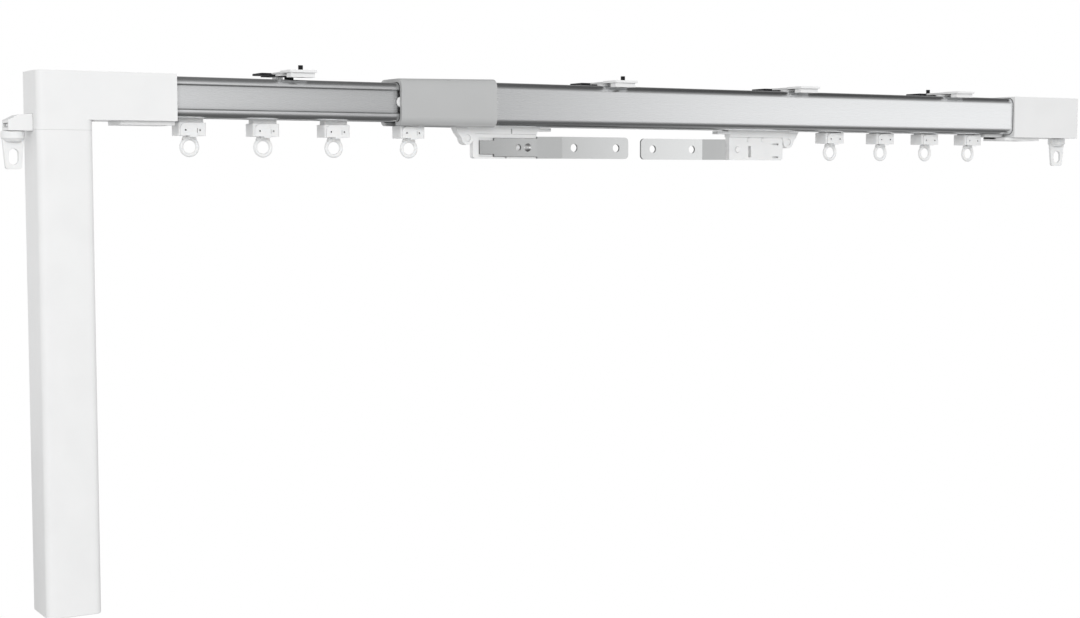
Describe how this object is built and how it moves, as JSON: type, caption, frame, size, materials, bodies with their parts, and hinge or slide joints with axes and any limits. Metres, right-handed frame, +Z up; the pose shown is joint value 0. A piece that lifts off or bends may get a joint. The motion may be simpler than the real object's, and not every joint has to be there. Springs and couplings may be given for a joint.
{
  "type": "electric curtain track",
  "caption": "Telescopic motorised curtain track with a hanging motor tube, nested rails, belt-driven carriers with steel overlap arms, ring gliders and ceiling brackets.",
  "frame": {"origin": "on the ceiling plane over the middle of the first bracket, on the rails' centre line", "axes": "+X along the track away from the motor, +Y away from the room towards the window, +Z up"},
  "size_m": [0.8658, 0.0563, 0.3297],
  "materials": {
    "white_plastic": "satin",
    "grey_plastic": "matte",
    "aluminium": "anodised",
    "steel": "brushed",
    "motor_can": "zinc plated",
    "black_screw": "black oxide",
    "dark_lever": "satin",
    "belt_rubber": "matte",
    "circuit_board": "solder mask",
    "brass": "turned"
  },
  "bodies": {
    "drive_unit": {"motor_housing": "white_plastic", "motor_bottom_cap": "white_plastic", "motor_mount": "grey_plastic", "gearbox": "steel", "dc_motor": "motor_can", "control_board": "circuit_board", "shaft_bearings": "steel", "drive_box_shell": "white_plastic", "drive_box_base": "white_plastic", "drive_box_screws": "steel", "narrow_rail": "aluminium", "drive_belt": "belt_rubber", "hook_arm": "white_plastic", "first_bracket_plate": "white_plastic", "first_bracket_screw": "black_screw"},
    "drive_pulley": {"drive_pulley": "white_plastic", "drive_shaft": "steel"},
    "set_button": {"set_button": "grey_plastic"},
    "first_latch": {"first_bracket_latch": "dark_lever"},
    "left_hook": {"left_end_hook": "white_plastic"},
    "wide_track": {"wide_rail": "aluminium", "joining_sleeve": "grey_plastic", "sleeve_guides": "white_plastic", "end_box_shell": "white_plastic", "end_box_base": "white_plastic", "end_clamp": "white_plastic", "end_box_screws": "black_screw", "idler_axle": "steel", "bracket_plates": "white_plastic", "bracket_screws": "black_screw"},
    "idler_pulley": {"idler_pulley": "white_plastic", "idler_bush": "brass"},
    "second_latch": {"second_bracket_latch": "dark_lever"},
    "third_latch": {"third_bracket_latch": "dark_lever"},
    "fourth_latch": {"fourth_bracket_latch": "dark_lever"},
    "right_hook": {"right_end_hook": "white_plastic"},
    "left_carrier": {"left_carrier_body": "white_plastic", "left_overlap_arm": "steel", "left_arm_rivets": "steel", "left_belt_clamp": "grey_plastic"},
    "right_carrier": {"right_carrier_body": "white_plastic", "right_overlap_arm": "steel", "right_arm_rivets": "steel", "right_belt_clamp": "grey_plastic"},
    "left_glider_1": {"left_glider_1": "white_plastic"},
    "left_glider_2": {"left_glider_2": "white_plastic"},
    "left_glider_3": {"left_glider_3": "white_plastic"},
    "left_glider_4": {"left_glider_4": "white_plastic"},
    "right_glider_1": {"right_glider_1": "white_plastic"},
    "right_glider_2": {"right_glider_2": "white_plastic"},
    "right_glider_3": {"right_glider_3": "white_plastic"},
    "right_glider_4": {"right_glider_4": "white_plastic"},
    "left_ring_1": {"left_ring_1": "white_plastic"},
    "left_ring_2": {"left_ring_2": "white_plastic"},
    "left_ring_3": {"left_ring_3": "white_plastic"},
    "left_ring_4": {"left_ring_4": "white_plastic"},
    "right_ring_1": {"right_ring_1": "white_plastic"},
    "right_ring_2": {"right_ring_2": "white_plastic"},
    "right_ring_3": {"right_ring_3": "white_plastic"},
    "right_ring_4": {"right_ring_4": "white_plastic"}
  },
  "joints": [
    {"name": "track_extension", "type": "slide", "parent": "drive_unit", "child": "wide_track", "axis": [1, 0, 0], "range_m": [-0.045, 0.11], "deforming": ["drive_belt"]},
    {"name": "left_carrier_travel", "type": "slide", "parent": "drive_unit", "child": "left_carrier", "axis": [1, 0, 0], "range_m": [-0.112, 0.02]},
    {"name": "right_carrier_travel", "type": "slide", "parent": "wide_track", "child": "right_carrier", "axis": [1, 0, 0], "range_m": [-0.0205, 0.1125]},
    {"name": "drive_pulley_spin", "type": "hinge", "parent": "drive_unit", "child": "drive_pulley", "pos_m": [-0.1465, 0, -0.018], "axis": [0, 0, 1], "range_deg": [-920, 164]},
    {"name": "idler_pulley_spin", "type": "hinge", "parent": "wide_track", "child": "idler_pulley", "pos_m": [0.6495, 0, -0.018], "axis": [0, 0, 1], "range_deg": [-920, 164]},
    {"name": "set_button_press", "type": "slide", "parent": "drive_unit", "child": "set_button", "axis": [0, 0, 1], "range_m": [0, 0.001], "stiffness_N_per_m": 400, "springref_m": -0.001},
    {"name": "left_hook_swivel", "type": "hinge", "parent": "drive_unit", "child": "left_hook", "pos_m": [-0.173, 0, -0.0396], "axis": [0, 0, 1], "continuous": true},
    {"name": "right_hook_swivel", "type": "hinge", "parent": "wide_track", "child": "right_hook", "pos_m": [0.6785, 0, -0.035], "axis": [0, 0, 1], "continuous": true},
    {"name": "first_latch_turn", "type": "hinge", "parent": "drive_unit", "child": "first_latch", "pos_m": [0, 0, -0.001], "axis": [0, 0, 1], "range_deg": [0, 90]},
    {"name": "second_latch_turn", "type": "hinge", "parent": "wide_track", "child": "second_latch", "pos_m": [0.239, 0, -0.001], "axis": [0, 0, 1], "range_deg": [0, 90]},
    {"name": "third_latch_turn", "type": "hinge", "parent": "wide_track", "child": "third_latch", "pos_m": [0.4, 0, -0.001], "axis": [0, 0, 1], "range_deg": [0, 90]},
    {"name": "fourth_latch_turn", "type": "hinge", "parent": "wide_track", "child": "fourth_latch", "pos_m": [0.554, 0, -0.001], "axis": [0, 0, 1], "range_deg": [0, 90]},
    {"name": "left_glider_1_travel", "type": "slide", "parent": "drive_unit", "child": "left_glider_1", "axis": [1, 0, 0], "range_m": [-0.00274, 0.0009]},
    {"name": "left_glider_2_travel", "type": "slide", "parent": "drive_unit", "child": "left_glider_2", "axis": [1, 0, 0], "range_m": [-0.02962, 0.0057]},
    {"name": "left_glider_3_travel", "type": "slide", "parent": "drive_unit", "child": "left_glider_3", "axis": [1, 0, 0], "range_m": [-0.0565, 0.0105]},
    {"name": "left_glider_4_travel", "type": "slide", "parent": "drive_unit", "child": "left_glider_4", "axis": [1, 0, 0], "range_m": [-0.08909, 0.01632]},
    {"name": "right_glider_1_travel", "type": "slide", "parent": "wide_track", "child": "right_glider_1", "axis": [1, 0, 0], "range_m": [-0.0163, 0.089]},
    {"name": "right_glider_2_travel", "type": "slide", "parent": "wide_track", "child": "right_glider_2", "axis": [1, 0, 0], "range_m": [-0.01063, 0.05721]},
    {"name": "right_glider_3_travel", "type": "slide", "parent": "wide_track", "child": "right_glider_3", "axis": [1, 0, 0], "range_m": [-0.0057, 0.0296]},
    {"name": "right_glider_4_travel", "type": "slide", "parent": "wide_track", "child": "right_glider_4", "axis": [1, 0, 0], "range_m": [-0.00079, 0.0021]},
    {"name": "left_ring_1_swivel", "type": "hinge", "parent": "left_glider_1", "child": "left_ring_1", "pos_m": [-0.066, 0, -0.04], "axis": [0, 0, 1], "continuous": true},
    {"name": "left_ring_2_swivel", "type": "hinge", "parent": "left_glider_2", "child": "left_ring_2", "pos_m": [-0.018, 0, -0.04], "axis": [0, 0, 1], "continuous": true},
    {"name": "left_ring_3_swivel", "type": "hinge", "parent": "left_glider_3", "child": "left_ring_3", "pos_m": [0.0302, 0, -0.04], "axis": [0, 0, 1], "continuous": true},
    {"name": "left_ring_4_swivel", "type": "hinge", "parent": "left_glider_4", "child": "left_ring_4", "pos_m": [0.0837, 0, -0.04], "axis": [0, 0, 1], "continuous": true},
    {"name": "right_ring_1_swivel", "type": "hinge", "parent": "right_glider_1", "child": "right_ring_1", "pos_m": [0.4384, 0, -0.04], "axis": [0, 0, 1], "continuous": true},
    {"name": "right_ring_2_swivel", "type": "hinge", "parent": "right_glider_2", "child": "right_ring_2", "pos_m": [0.4883, 0, -0.04], "axis": [0, 0, 1], "continuous": true},
    {"name": "right_ring_3_swivel", "type": "hinge", "parent": "right_glider_3", "child": "right_ring_3", "pos_m": [0.534, 0, -0.04], "axis": [0, 0, 1], "continuous": true},
    {"name": "right_ring_4_swivel", "type": "hinge", "parent": "right_glider_4", "child": "right_ring_4", "pos_m": [0.5796, 0, -0.04], "axis": [0, 0, 1], "continuous": true}
  ],
  "couplings": [
    {"joint": "right_carrier_travel", "follows": "left_carrier_travel", "ratio": -1},
    {"joint": "drive_pulley_spin", "follows": "left_carrier_travel", "rad_per_m": 138.89},
    {"joint": "idler_pulley_spin", "follows": "left_carrier_travel", "rad_per_m": 138.89},
    {"joint": "left_glider_1_travel", "follows": "left_carrier_travel", "ratio": 0.02},
    {"joint": "left_glider_2_travel", "follows": "left_carrier_travel", "ratio": 0.26},
    {"joint": "left_glider_3_travel", "follows": "left_carrier_travel", "ratio": 0.5},
    {"joint": "left_glider_4_travel", "follows": "left_carrier_travel", "ratio": 0.791},
    {"joint": "right_glider_1_travel", "follows": "left_carrier_travel", "ratio": -0.7902},
    {"joint": "right_glider_2_travel", "follows": "left_carrier_travel", "ratio": -0.5063},
    {"joint": "right_glider_3_travel", "follows": "left_carrier_travel", "ratio": -0.2598},
    {"joint": "right_glider_4_travel", "follows": "left_carrier_travel", "ratio": -0.0143}
  ]
}
